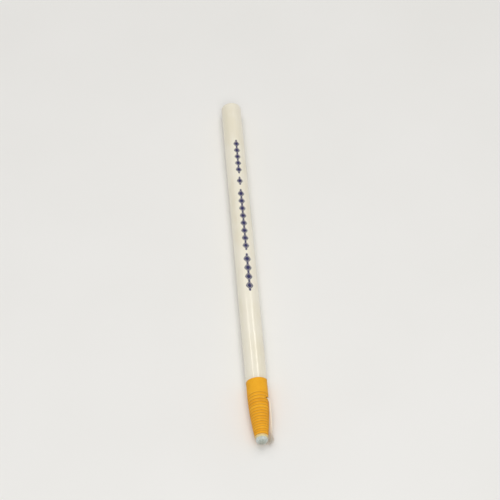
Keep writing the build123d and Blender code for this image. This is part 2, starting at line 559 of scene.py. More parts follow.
@dataclass(frozen=True)
class Taper:
    """Ground front of the casing: an arc for an outline, and the edge of the strip wound along it in laps.

    Its fields are plain numbers, or terms where the formulas are drawn into a node tree.
    """

    start: Number
    rear_reach: Number
    first_lap: Number
    lap_change: Number
    first_edge: Number
    last_turn: Number
    stray: Number
    arc_radius: Number
    arc_station: Number
    arc_reach: Number

    STRAY_GRAIN: ClassVar[Grain] = Grain(4.0 * MM, 1.8 * MM, 1.0)
    FADE_TURNS: ClassVar[float] = 1.5

    @classmethod
    def through(
        cls,
        start: tuple[float, float],
        end: tuple[float, float],
        bulge: float,
        laps: tuple[float, float],
        first_edge: float,
        stray: float,
    ) -> "Taper":
        """Lays the taper's arc through two points.

        Args:
            start: Station and reach where the taper begins.
            end: Station and reach of the rim.
            bulge: How far the arc swells out from the straight line between them.
            laps: Distance along the axis between the first two bared edges, and between the last two.
            first_edge: Angle at which the first bared edge begins.
            stray: How far the edges wander along the axis.

        Returns:
            The taper.
        """
        chord = Vector(end) - Vector(start)
        radius = (chord.length_squared / 4 + bulge**2) / (2 * bulge)
        outward = Vector((-chord.y, chord.x)).normalized()
        centre = Vector(start) + chord / 2 - outward * (radius - bulge)
        turns = 2 * chord.x / sum(laps)
        shortening = (laps[0] - laps[1]) / turns
        return cls(*start, laps[0], shortening, first_edge, turns, stray, radius, centre.x, centre.y)

    def drawn_in(self, shape: Shape) -> "Taper":
        """The same taper with its sizes as named inputs of a shape."""
        return Taper(*[shape.size(f.name, getattr(self, f.name)) for f in fields(self)])

    def reach_at(self, station: Number) -> Number:
        """Reach of the outline at a station."""
        return self.arc_reach + (self.arc_radius**2 - (station - self.arc_station) ** 2) ** 0.5

    def station_at(self, turns: Number) -> Number:
        """Station of the bared edge after a number of turns."""
        return self.start + turns * (self.first_lap - turns * self.lap_change / 2)

    def turns_at(self, station: Number) -> Number:
        """How many turns of the bared edge lie before a station."""
        lap = (self.first_lap**2 - (station - self.start) * self.lap_change * 2) ** 0.5
        return (self.first_lap - lap) / self.lap_change

    def edge_angle(self, turns: Number) -> Number:
        """Angle at which the bared edge lies after a number of turns."""
        return self.first_edge - turns * TURN

    def laps_at(self, station: Number, angle: Number) -> Number:
        """A number that passes a whole one at each bared edge."""
        return self.turns_at(station) + (angle - self.first_edge) / TURN

    def wander(self, sketch: Sketch, place: Term, turns: Term) -> Term:
        """How far the edges wander there from an even spiral; they don't at the ends of the taper.

        Args:
            sketch: Sketch that the nodes go into.
            place: Where it is read.
            turns: How many turns of the bared edge lie before that place.

        Returns:
            The distance along the axis.
        """
        cloud = sketch.noise(place, self.STRAY_GRAIN) - 0.5
        begun = sketch.smooth(turns, 0.0, self.FADE_TURNS)
        going_on = sketch.smooth(turns, self.last_turn, self.last_turn - self.FADE_TURNS)
        return cloud * 2 * self.stray * (begun * going_on)


class Finish(ABC):
    """How one material looks."""

    name: ClassVar[str]

    def material(self) -> bpy.types.Material:
        """Makes a new material with this finish.

        Returns:
            The material.
        """
        surface = Surface(self.name)
        self.paint(surface)
        return surface.material

    @abstractmethod
    def paint(self, surface: Surface) -> None:
        """Wires the finish into an empty surface.

        Args:
            surface: The surface.
        """


@dataclass(frozen=True)
class StampedRow:
    """One row of the ornament: full lozenges in line, with a dot between each two."""

    FULLNESS: ClassVar[float] = 1.25
    HALF_LENGTH: ClassVar[float] = 0.43
    HEART: ClassVar[float] = 0.6
    FRAME: ClassVar[float] = 0.69
    DOT: ClassVar[float] = 0.11

    start: float
    end: float
    lozenges: int
    width: float

    def mask(self, surface: Surface, station: Term, across: Term, edge: float) -> Term:
        """Where this row's ink lies.

        Args:
            surface: Surface that is printed.
            station: Place along the axis.
            across: Distance from the row's middle line.
            edge: How soft the ink's edge is.

        Returns:
            1 on the ink and 0 beside it.
        """
        pitch = (self.end - self.start) / self.lozenges
        count = (station - self.start) / pitch
        dot_radius = pitch * self.DOT
        from_middle = surface.math("ABSOLUTE", surface.math("FRACT", count) - 0.5) * pitch
        from_dot = surface.math("PINGPONG", count, 0.5) * pitch
        lengthwise = (from_middle / (pitch * self.HALF_LENGTH)) ** self.FULLNESS
        lozenge = lengthwise + (across / (self.width / 2)) ** self.FULLNESS
        soft = 2 * edge / self.width
        outline = surface.smooth(lozenge, 1 + soft, 1 - soft)
        border = outline * surface.smooth(lozenge, self.FRAME - soft, self.FRAME + soft)
        heart = surface.smooth(lozenge, self.HEART + soft, self.HEART - soft)
        from_centre = (from_dot * from_dot + across * across) ** 0.5
        dot = surface.smooth(from_centre, dot_radius + edge, dot_radius - edge)
        lozenges = surface.math("MAXIMUM", border, heart) * self.span(surface, station, 0.0, edge)
        dots = dot * self.span(surface, station, dot_radius, edge)
        return surface.math("MAXIMUM", lozenges, dots)

    def span(self, surface: Surface, station: Term, overhang: float, edge: float) -> Term:
        """1 along the row and as far past its ends as the overhang, and 0 beyond a soft edge."""
        begun = surface.smooth(station, self.start - overhang - edge, self.start - overhang)
        return begun * surface.smooth(station, self.end + overhang + edge, self.end + overhang)


@dataclass(frozen=True)
class Imprint:
    """Plain ornament stamped along the barrel in rows of lozenges and dots."""

    angle: float = math.radians(9)
    edge: float = 0.05 * MM
    rows: tuple[StampedRow, ...] = (
        StampedRow(start=-67.0 * MM, end=-48.0 * MM, lozenges=5, width=2.7 * MM),
        StampedRow(start=-45.2 * MM, end=-41.4 * MM, lozenges=1, width=2.7 * MM),
        StampedRow(start=-38.0 * MM, end=-4.8 * MM, lozenges=8, width=2.9 * MM),
        StampedRow(start=-2.0 * MM, end=17.0 * MM, lozenges=4, width=3.2 * MM),
    )

    def mask(self, surface: Surface, station: Term, arc_length: Term) -> Term:
        """Where the ink lies.

        Args:
            surface: Surface that is printed.
            station: Place along the axis.
            arc_length: Distance round the barrel from the middle of the print.

        Returns:
            1 on the ink and 0 beside it.
        """
        across = surface.math("ABSOLUTE", arc_length)
        first, *others = [row.mask(surface, station, across, self.edge) for row in self.rows]
        for other in others:
            first = surface.math("MAXIMUM", first, other)
        return first


@dataclass(frozen=True)
class Lacquer(Finish):
    """Cream-white lacquer over paper, drawn on lengthwise, with an ornament in navy ink."""

    name: ClassVar[str] = "cream_lacquer"
    layout: Layout
    imprint: Optional[Imprint] = None
    cream: str = "F4EEDC"
    warm: str = "ECE4CB"
    soiled: str = "CFC4A6"
    ink: str = "1A1856"
    clouds: Grain = Grain(14 * MM, 6 * MM, 3.0)
    streaks: Grain = Grain(90 * MM, 0.45 * MM)
    peel: Grain = Grain(1.3 * MM, 0.9 * MM, 1.0)
    wear: Grain = Grain(0.5 * MM, 0.35 * MM, 3.0)
    tone_weights: Weights = (0.7, 0.3)
    tone_span: Span = (0.38, 0.66)
    warm_share: float = 0.75
    soiled_length: float = 2.5 * MM
    soiled_share: float = 0.5
    worn_span: Span = (0.22, 0.34)
    ink_share: float = 0.99
    roughness: float = 0.25
    rough_weights: Weights = (0.12, 0.1)
    ink_roughness: float = 0.3
    gloss: float = 0.6
    gloss_roughness: float = 0.09
    ink_matting: float = 0.55
    relief_weights: Weights = (0.6, 0.4)
    relief_depth: float = 0.008 * MM

    def paint(self, surface: Surface) -> None:
        """Wires cream, streaks, soiling and ink.

        Args:
            surface: Empty surface.
        """
        front = self.layout.jacket_front
        station, angle, _ = surface.round_axis(self.layout.axis_height)
        clouds = surface.grained(self.clouds)
        streaks = surface.grained(self.streaks)
        tone = surface.smooth(surface.weighed(self.tone_weights, clouds, streaks), *self.tone_span)
        colour = surface.mix(tone * self.warm_share, self.cream, self.warm)
        soil = surface.smooth(station, front - self.soiled_length, front) * clouds
        colour = surface.mix(soil * self.soiled_share, colour, self.soiled)
        roughness = self.roughness + surface.weighed(self.rough_weights, streaks, clouds)
        coat: Number = self.gloss
        if self.imprint:
            arc_length = (angle - self.imprint.angle) * self.layout.barrel_radius
            kept = surface.smooth(surface.grained(self.wear), *self.worn_span)
            inked = self.imprint.mask(surface, station, arc_length) * kept
            colour = surface.mix(inked * self.ink_share, colour, self.ink)
            roughness = roughness + inked * self.ink_roughness
            coat = self.gloss - inked * self.ink_matting
        surface.wire({"Base Color": colour, "Roughness": roughness})
        surface.wire({"Coat Weight": coat, "Coat Roughness": self.gloss_roughness})
        height = surface.weighed(self.relief_weights, streaks, surface.grained(self.peel))
        surface.relief(height, self.relief_depth)


@dataclass(frozen=True)
class WoundPaper(Finish):
    """Orange-yellow paper, dyed through, with the bared edge of each lap as a darker line that is partly
    glue line and partly painted shade, and with painted shade in the string's slit and channel.
    """

    name: ClassVar[str] = "wound_paper"
    layout: Layout
    taper: Taper
    orange: str = "F7B426"
    deep: str = "E69A14"
    line: str = "A5660A"
    lip: str = "F9C55A"
    raw: str = "EBD9A4"
    # Near-black brown of the painted shade down in the string's slit and channel.
    recess_shade: str = "4A2C0C"
    fibres: Grain = Grain(0.05 * MM, 0.7 * MM, 3.0)
    clouds: Grain = Grain(2.2 * MM, 2.2 * MM, 3.0)
    tone_weights: Weights = (0.45, 0.35, 0.2)
    tone_span: Span = (0.25, 0.75)
    line_span: Span = (0.26, 0.02)
    line_share: float = 0.72
    lip_span: Span = (0.72, 0.95)
    lip_share: float = 0.4
    recess_shade_span: Span = (0.08 * MM, 0.16 * MM)
    recess_shade_share: float = 0.95
    raw_width: float = 0.1 * MM
    raw_fade: float = 0.025 * MM
    roughness: float = 0.62
    fibre_roughness: float = 0.2
    shine: float = 0.25
    relief_weights: Weights = (0.7, 0.3)
    relief_depth: float = 0.02 * MM

    def paint(self, surface: Surface) -> None:
        """Wires dye, fibres, bared edges, the raw rim and painted shade in the slit and channel.

        Args:
            surface: Empty surface.
        """
        rim = self.layout.rim
        station, angle, reach = surface.round_axis(self.layout.axis_height)
        turns = self.taper.turns_at(station)
        laps = self.taper.laps_at(station - self.taper.wander(surface, surface.place, turns), angle)
        lap = surface.math("FLOOR", laps)
        within = surface.math("FRACT", laps)
        bared = surface.smooth(turns, *UNIT)
        lap_tone = surface.add("ShaderNodeTexWhiteNoise", {"noise_dimensions": "1D"}, {"W": lap}) * bared
        fibres = surface.grained(self.fibres)
        clouds = surface.grained(self.clouds)
        tone = surface.weighed(self.tone_weights, fibres, clouds, lap_tone)
        colour = surface.mix(surface.smooth(tone, *self.tone_span), self.orange, self.deep)
        lip = surface.smooth(within, *self.lip_span) * bared
        colour = surface.mix(lip * self.lip_share, colour, self.lip)
        # The darker line just behind each bared edge is partly the glue line and partly painted shade in the
        # step.
        line = surface.smooth(within, *self.line_span) * bared
        colour = surface.mix(line * self.line_share, colour, self.line)
        # Painted shade: surfaces sunk below the outline, in the slit and channel, are darkened.
        outline = surface.math("MINIMUM", self.taper.reach_at(station), self.taper.rear_reach)
        sunk = surface.smooth(outline - reach, *self.recess_shade_span)
        colour = surface.mix(sunk * self.recess_shade_share, colour, self.recess_shade)
        torn = surface.smooth(station + fibres * self.raw_width, rim - self.raw_fade, rim)
        colour = surface.mix(torn, colour, self.raw)
        roughness = self.roughness + fibres * self.fibre_roughness
        surface.wire({"Base Color": colour, "Roughness": roughness, "Specular IOR Level": self.shine})
        surface.relief(surface.weighed(self.relief_weights, fibres, clouds), self.relief_depth)


@dataclass(frozen=True)
class Wax(Finish):
    """Grey-white marking wax, slightly clear, rubbed with dye at its foot, and with painted shade on the
    front of its dome.
    """

    name: ClassVar[str] = "marking_wax"
    layout: Layout
    white: str = "D2D9D4"
    cool: str = "B0BAB1"
    rubbed: str = "EBD794"
    # Olive grey of the painted shade on the front of the dome.
    used: str = "90907C"
    clouds: Grain = Grain(1.1 * MM, 1.1 * MM, 4.0)
    scuffs: Grain = Grain(0.9 * MM, 0.12 * MM, 3.0)
    cool_span: Span = (0.35, 0.7)
    scuff_length: float = 0.7 * MM
    rubbed_length: float = 1.5 * MM
    rubbed_share: float = 0.92
    front_shade_length: float = 1.3 * MM
    front_shade_share: float = 0.8
    roughness: float = 0.34
    scuff_roughness: float = 0.25
    clearness: float = 0.25
    clear_depth: float = 0.9 * MM
    clear_tint: tuple[float, float, float] = (1.0, 0.95, 0.85)
    relief_weights: Weights = (0.5, 0.5)
    relief_depth: float = 0.05 * MM

    def paint(self, surface: Surface) -> None:
        """Wires clouded white, dye at the foot, painted shade on the front and fine scuffs.

        Args:
            surface: Empty surface.
        """
        tip = self.layout.tip
        station = surface.split(surface.place)[0]
        clouds = surface.grained(self.clouds)
        scuffs = surface.grained(self.scuffs)
        ragged = scuffs * self.scuff_length
        colour = surface.mix(surface.smooth(clouds, *self.cool_span), self.white, self.cool)
        rubbed_end = self.layout.rim + self.rubbed_length
        foot = surface.smooth(station + ragged, rubbed_end, rubbed_end - self.scuff_length)
        colour = surface.mix(foot * self.rubbed_share, colour, self.rubbed)
        # Painted shade: the front of the dome is darkened towards olive grey.
        front = surface.smooth(station - ragged, tip - self.front_shade_length, tip)
        colour = surface.mix(front * self.front_shade_share, colour, self.used)
        surface.wire({"Base Color": colour, "Roughness": self.roughness + scuffs * self.scuff_roughness})
        surface.wire({"Subsurface Weight": self.clearness, "Subsurface Scale": self.clear_depth})
        surface.wire({"Subsurface Radius": self.clear_tint})
        surface.relief(surface.weighed(self.relief_weights, clouds, scuffs), self.relief_depth)


@dataclass(frozen=True)
class Cotton(Finish):
    """Undyed cotton, each yarn a little lighter or darker, darkened at its frayed ends by dirt and painted
    shade.
    """

    name: ClassVar[str] = "undyed_cotton"
    pale: str = "F5F0E4"
    tan: str = "ECDFC7"
    # Grey of the frayed ends: partly dirt, partly painted shade of the tuft.
    dirt_and_shade_grey: str = "B9B1A6"
    fibres: Grain = Grain(0.12 * MM, 0.03 * MM)
    tan_weights: Weights = (0.55, 0.3)
    dirt_and_shade_share: float = 0.6
    roughness: float = 0.8
    fibre_roughness: float = 0.15
    sheen: float = 0.25
    sheen_roughness: float = 0.5
    relief_depth: float = 0.02 * MM

    def paint(self, surface: Surface) -> None:
        """Wires the tone of each yarn, its fibres and the frayed ends darkened by dirt and painted shade.

        Args:
            surface: Empty surface.
        """
        fibres = surface.grained(self.fibres)
        tone = surface.weighed(self.tan_weights, surface.marked(Mark.TONE), fibres)
        colour = surface.mix(tone, self.pale, self.tan)
        # Frayed ends are mixed towards grey: partly dirt, partly painted shade of the tuft.
        colour = surface.mix(surface.marked(Mark.FRAYED) * self.dirt_and_shade_share, colour, self.dirt_and_shade_grey)
        surface.wire({"Base Color": colour, "Roughness": self.roughness + fibres * self.fibre_roughness})
        surface.wire({"Sheen Weight": self.sheen, "Sheen Roughness": self.sheen_roughness})
        surface.relief(fibres, self.relief_depth)


@dataclass(frozen=True)
class StudioFloor(Finish):
    """Pale matt sheet that the marker lies on."""

    name: ClassVar[str] = "studio_floor"
    pale: str = "F1F0ED"
    shaded: str = "ECEBE7"
    clouds: Grain = Grain(60 * MM, 60 * MM)
    roughness: float = 0.6
    cloud_roughness: float = 0.1
    shine: float = 0.2

    def paint(self, surface: Surface) -> None:
        """Wires a pale, faintly clouded white.

        Args:
            surface: Empty surface.
        """
        clouds = surface.grained(self.clouds)
        colour = surface.mix(clouds, self.pale, self.shaded)
        roughness = self.roughness + clouds * self.cloud_roughness
        surface.wire({"Base Color": colour, "Roughness": roughness, "Specular IOR Level": self.shine})


@dataclass
class SubAssembly(ABC):
    """Pieces of the marker that are made together."""

    layout: Layout

    @abstractmethod
    def build(self) -> None:
        """Makes the pieces, dresses them and ties them to their bodies."""

    def dress(self, piece: bpy.types.Object, slot: Slot, node: str, crease: float = CREASE) -> None:
        """Shades a piece, hides the solid that it stands for and logs both.

        Args:
            piece: The piece, which has its material.
            slot: Slot that it takes its finish from; not used.
            node: Name of the solid that it stands for.
            crease: Edges sharper than this angle are kept.
        """
        piece.data.shade_smooth()
        piece.data.set_sharp_from_angle(angle=crease)
        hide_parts(node)
        LOG.info("%s stands for %s with %d faces", piece.name, node, len(piece.data.polygons))


@dataclass
class Barrel(SubAssembly):
    """White jacket round the casing, and the lacquer cup over the rear end."""

    wall: float = 0.15 * MM
    bond_gap: float = 0.02 * MM
    end_round: float = 0.9 * MM
    dish: float = 0.05 * MM
    shoulder_reach: float = 0.5
    shoulder_dish: float = 0.8
    front_round: float = 0.06 * MM
    front_slant: float = 1.2 * MM
    slant_angle: float = math.radians(125)
    front_stray: float = 0.1 * MM
    stray_waves: tuple[tuple[int, float, float], ...] = ((5, 0.3, 0.7), (13, 0.2, 2.1))
    straight_margin: float = 0.3 * MM
    segments: int = 192
    rim_steps: int = 12
    front_steps: int = 4

    def jacket(self) -> bpy.types.Object:
        """The wrap: a thin tube whose front edge is softened, cut obliquely and a little ragged.

        Returns:
            The piece.
        """
        place = self.layout
        inner = place.casing_radius + self.bond_gap
        outer = place.barrel_radius
        corner = (place.jacket_front - self.front_round, outer - self.front_round)
        straight_end = place.jacket_front - self.straight_margin
        outline = [(place.jacket_rear, inner), (place.jacket_rear, outer), (straight_end, outer)]
        outline += arc(corner, self.front_round, math.pi / 2, 0.0, self.front_steps)
        outline.append((place.jacket_front, inner))
        mesh = turned_mesh("jacket", outline, place.axis_height, self.segments)
        for vertex in mesh.vertices:
            if vertex.co.x > straight_end - self.straight_margin:
                vertex.co.x -= self.set_back(math.atan2(vertex.co.y, vertex.co.z - place.axis_height))
        return placed("jacket", mesh)

    def set_back(self, angle: float) -> float:
        """How far the cut front edge of the wrap stays back.

        Args:
            angle: Angle round the barrel.

        Returns:
            The distance along the axis.
        """
        slanted = math.cos((angle - self.slant_angle) / 2) ** 4
        wavy = sum(share * (1 + math.sin(count * angle + phase)) for count, share, phase in self.stray_waves)
        return self.front_slant * slanted + self.front_stray * wavy

    def seal(self) -> bpy.types.Object:
        """The cup: a shallow dish at the end, a round rim, and a seat on the casing.

        Returns:
            The piece.
        """
        place = self.layout
        chamfer = self.end_round - self.wall
        centre = (place.rear + self.end_round, place.barrel_radius - self.end_round)
        shoulder = (place.rear + self.dish * self.shoulder_dish, centre[1] * self.shoulder_reach)
        face = [(place.rear + self.dish, 0.0), shoulder]
        rim = arc(centre, self.end_round, math.pi, math.pi / 2, self.rim_steps)
        seat = [
            (place.jacket_rear, place.barrel_radius),
            (place.jacket_rear, place.casing_radius),
            (place.casing_rear + chamfer, place.casing_radius),
            (place.casing_rear, place.casing_radius - chamfer),
            (place.casing_rear, 0.0),
        ]
        mesh = turned_mesh("rear_seal", face + rim + seat, place.axis_height, self.segments)
        return placed("rear_seal", mesh)

    def build(self) -> None:
        """Makes both pieces, dresses them and ties them to the barrel."""
        for piece, finish, slot, node in (
            (self.jacket(), Lacquer(self.layout, Imprint()), Slot.JACKET, "outer_jacket"),
            (self.seal(), Lacquer(self.layout), Slot.LACQUER, "end_seal"),
        ):
            piece.data.materials.append(finish.material())
            self.dress(piece, slot, node)
            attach(piece, Body.BARREL.value)


@dataclass
class PaperCasing(SubAssembly):
    """Wound paper tube with the ground taper, the bared edges of its laps and the string's exit."""

    band_length: float = 5.8 * MM
    rim_reach: float = 2.75 * MM
    bulge: float = 0.36 * MM
    laps: tuple[float, float] = (1.55 * MM, 0.95 * MM)
    first_edge: float = math.radians(250)
    edge_stray: float = 0.12 * MM
    edge_depth: float = 0.08 * MM
    edge_share: float = 0.42
    bore_gap: float = 0.02 * MM
    end_chamfer: float = 0.75 * MM
    rows_per_turn: int = 12
    spare_turns: int = 2
    row_crowding: float = 0.85
    segments: int = 180
    merge: float = 0.002 * MM
    channel_radius: float = 0.49 * MM
    channel_reach: float = 3.01 * MM
    climb: float = math.radians(25)
    slit_length: float = 2.2 * MM
    slit_width: float = 0.4 * MM
    slit_narrowing: float = 0.6
    slit_mouth: float = 1.1 * MM
    gape_share: float = 0.65
    slit_depth: float = 0.5 * MM
    slit_steps: int = 10

    def ground_taper(self) -> Taper:
        """The outline and the winding of the ground front.

        Returns:
            The taper.
        """
        return Taper.through(
            start=(self.layout.jacket_front + self.band_length, self.layout.casing_radius),
            end=(self.layout.rim, self.rim_reach),
            bulge=self.bulge,
            laps=self.laps,
            first_edge=self.first_edge,
            stray=self.edge_stray,
        )

    def taper_shape(self, ground: Taper, material: bpy.types.Material) -> Shape:
        """Tree that winds the taper: rows that follow the spiral, with a step at the edge of each lap.

        Args:
            ground: Outline and winding of the taper.
            material: Finish of the paper.

        Returns:
            The tree.
        """
        shape = Shape("wound_taper")
        taper = ground.drawn_in(shape)
        axis_height = shape.size("Axis height", self.layout.axis_height)
        depth = shape.size("Edge depth", self.edge_depth)
        share = shape.size("Edge share", self.edge_share)
        rows = (math.ceil(ground.last_turn) + self.spare_turns) * self.rows_per_turn
        counts = {"Vertices X": rows, "Vertices Y": self.segments + 1}
        grid = shape.add("GeometryNodeMeshGrid", sockets={"Size X": 1.0, "Size Y": 1.0, **counts})
        row_place, column_place, _ = shape.split(shape.add("GeometryNodeInputPosition"))
        row = shape.math("ROUND", (row_place + 0.5) * (rows - 1))
        count = (row + 0.5) / self.rows_per_turn
        share_of_turn = shape.math("FRACT", count)
        crowded = share_of_turn - shape.math("SINE", share_of_turn * TURN) * (self.row_crowding / TURN)
        around = column_place + 0.5
        wound = shape.math("FLOOR", count) + crowded - 1 + around
        wound = shape.math("MINIMUM", shape.math("MAXIMUM", wound, 0.0), taper.last_turn)
        within = shape.math("FRACT", wound - around)
        step = shape.math("MAXIMUM", 1 - within / share, 0.0) * shape.smooth(wound, *UNIT)
        station = taper.station_at(wound)
        reach = taper.reach_at(station) - depth * step
        place = shape.round_place(station, reach, taper.edge_angle(around), axis_height)
        offset = shape.join(taper.wander(shape, place, wound), 0.0, 0.0)
        sockets = {"Geometry": grid, "Position": place, "Offset": offset}
        wrapped = shape.add("GeometryNodeSetPosition", sockets=sockets)
        sockets = {"Geometry": wrapped, "Distance": self.merge}
        shape.close([shape.add("GeometryNodeMergeByDistance", sockets=sockets)], material)
        return shape

    def closed_tube(self, mesh: bpy.types.Mesh) -> bpy.types.Mesh:
        """Carries the open taper on: through the bore to the rear end and back along the outside.

        Args:
            mesh: The open taper, which is used up.

        Returns:
            A closed mesh of the whole casing.
        """
        place = self.layout
        bore = place.core_radius + self.bore_gap
        form = bmesh.new()
        form.from_mesh(mesh)
        edges = [e for e in form.edges if e.is_boundary and e.verts[0].co.x > place.rim - self.merge]
        for station, reach in (
            (place.rim, bore),
            (place.casing_rear, bore),
            (place.casing_rear, place.casing_radius - self.end_chamfer),
            (place.casing_rear + self.end_chamfer, place.casing_radius),
            (place.jacket_front, place.casing_radius),
            (place.jacket_front + self.band_length, place.casing_radius),
        ):
            grown = bmesh.ops.extrude_edge_only(form, edges=edges)["geom"]
            corners = {item for item in grown if isinstance(item, bmesh.types.BMVert)}
            for corner in corners:
                angle = math.atan2(corner.co.y, corner.co.z - place.axis_height)
                corner.co = round_point(station, reach, angle, place.axis_height)
            edges = [e for e in grown if isinstance(e, bmesh.types.BMEdge) and corners.issuperset(e.verts)]
        bmesh.ops.remove_doubles(form, verts=form.verts, dist=self.merge)
        bmesh.ops.holes_fill(form, edges=[e for e in form.edges if e.is_boundary])
        bpy.data.meshes.remove(mesh)
        return finished_mesh("paper_casing", form)

    def channel_cutter(self) -> bpy.types.Object:
        """Round bar along the string's way out of the paper.

        Returns:
            The bar.
        """
        place = self.layout
        slope = math.tan(self.climb)
        bend = place.fold.x - (place.fold_reach - self.channel_reach) / slope
        beyond = place.casing_radius
        route = [
            (bend - beyond, self.channel_reach),
            (bend, self.channel_reach),
            (place.fold.x + beyond, place.fold_reach + beyond * slope),
        ]
        curve = bpy.data.curves.new("channel", "CURVE")
        curve.dimensions = "3D"
        curve.bevel_depth = self.channel_radius
        curve.use_fill_caps = True
        spline = curve.splines.new("POLY")
        spline.points.add(len(route) - 1)
        for point, (station, reach) in zip(spline.points, route):
            point.co = (*round_point(station, reach, place.string_angle, place.axis_height), 1.0)
        bar = placed("channel_bar", curve)
        cutter = placed("channel_cutter", plain_mesh(bar))
        bpy.data.objects.remove(bar)
        return cutter

    def slit_cutter(self) -> bpy.types.Object:
        """Curved blade that ends at the string's exit, gapes beside it and starts the peeling.

        Returns:
            The blade.
        """
        place = self.layout
        front = place.fold.x - (place.fold_reach - place.casing_radius) / math.tan(self.climb)
        turned = (self.channel_radius + self.slit_length) / place.casing_radius
        low = place.casing_radius - self.slit_depth
        high = place.casing_radius + self.slit_depth
        form = bmesh.new()
        rings = []
        for i in range(self.slit_steps + 1):
            share = i / self.slit_steps
            angle = place.string_angle - turned * share
            gape = math.sin(math.pi * min(1.0, share / self.gape_share)) ** 2
            narrowed = self.slit_width * (1 - self.slit_narrowing * share)
            rear = front - narrowed - (self.slit_mouth - self.slit_width) * gape
            corners = ((front, low), (front, high), (rear, high), (rear, low))
            rings.append([form.verts.new(round_point(s, r, angle, place.axis_height)) for s, r in corners])
        for one, two in zip(rings, rings[1:]):
            for i in range(len(one)):
                j = (i + 1) % len(one)
                form.faces.new((one[i], one[j], two[j], two[i]))
        form.faces.new(rings[0])
        form.faces.new(rings[-1])
        return placed("slit_cutter", finished_mesh("slit_cutter", form))

    def build(self) -> None:
        """Winds the taper, closes the tube, cuts the exit, dresses the piece and ties it to the barrel."""
        ground = self.ground_taper()
        material = WoundPaper(self.layout, ground).material()
        host = placed("taper_host", bpy.data.meshes.new("taper_host"))
        tube = self.closed_tube(self.taper_shape(ground, material).run(host))
        whole = placed("casing_blank", tube)
        cutters = [self.channel_cutter(), self.slit_cutter()]
        for cutter in cutters:
            cut = whole.modifiers.new(cutter.name, "BOOLEAN")
            cut.operation = "DIFFERENCE"
            cut.solver = "EXACT"
            cut.object = cutter
        piece = placed("paper_casing_wound", plain_mesh(whole))
        for item in (whole, *cutters):
            bpy.data.objects.remove(item)
        piece.data.materials.clear()
        piece.data.materials.append(material)
        self.dress(piece, Slot.PAPER, "paper_casing")
        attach(piece, Body.BARREL.value)


@dataclass
class WaxCore(SubAssembly):
    """Wax stick with a blunt writing end, flattened a little by use."""

    dome: float = 1.2 * MM
    flat_radius: float = 0.55 * MM
    wear: float = 0.05 * MM
    segments: int = 128
    dome_steps: int = 20

    def stick(self) -> bpy.types.Object:
        """The core from its rear end to the dome.

        Returns:
            The piece.
        """
        place = self.layout
        radius = place.core_radius
        dome_radius = (radius**2 + self.dome**2) / (2 * self.dome)
        centre = (place.tip - dome_radius, 0.0)
        half = math.asin(min(1.0, radius / dome_radius))
        worn_from = math.asin(self.flat_radius / dome_radius)
        outline = [(place.casing_rear, 0.0)]
        outline += [(station, radius) for station in (place.casing_rear, place.rim - self.dome, place.rim)]
        outline += arc(centre, dome_radius, half, worn_from, self.dome_steps)
        outline.append((place.tip - self.wear, 0.0))
        return placed("wax_stick", turned_mesh("wax_stick", outline, place.axis_height, self.segments))

    def build(self) -> None:
        """Makes the core, dresses it and ties it to the barrel."""
        piece = self.stick()
        piece.data.materials.append(Wax(self.layout).material())
        self.dress(piece, Slot.WAX, "wax_core")
        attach(piece, Body.BARREL.value)


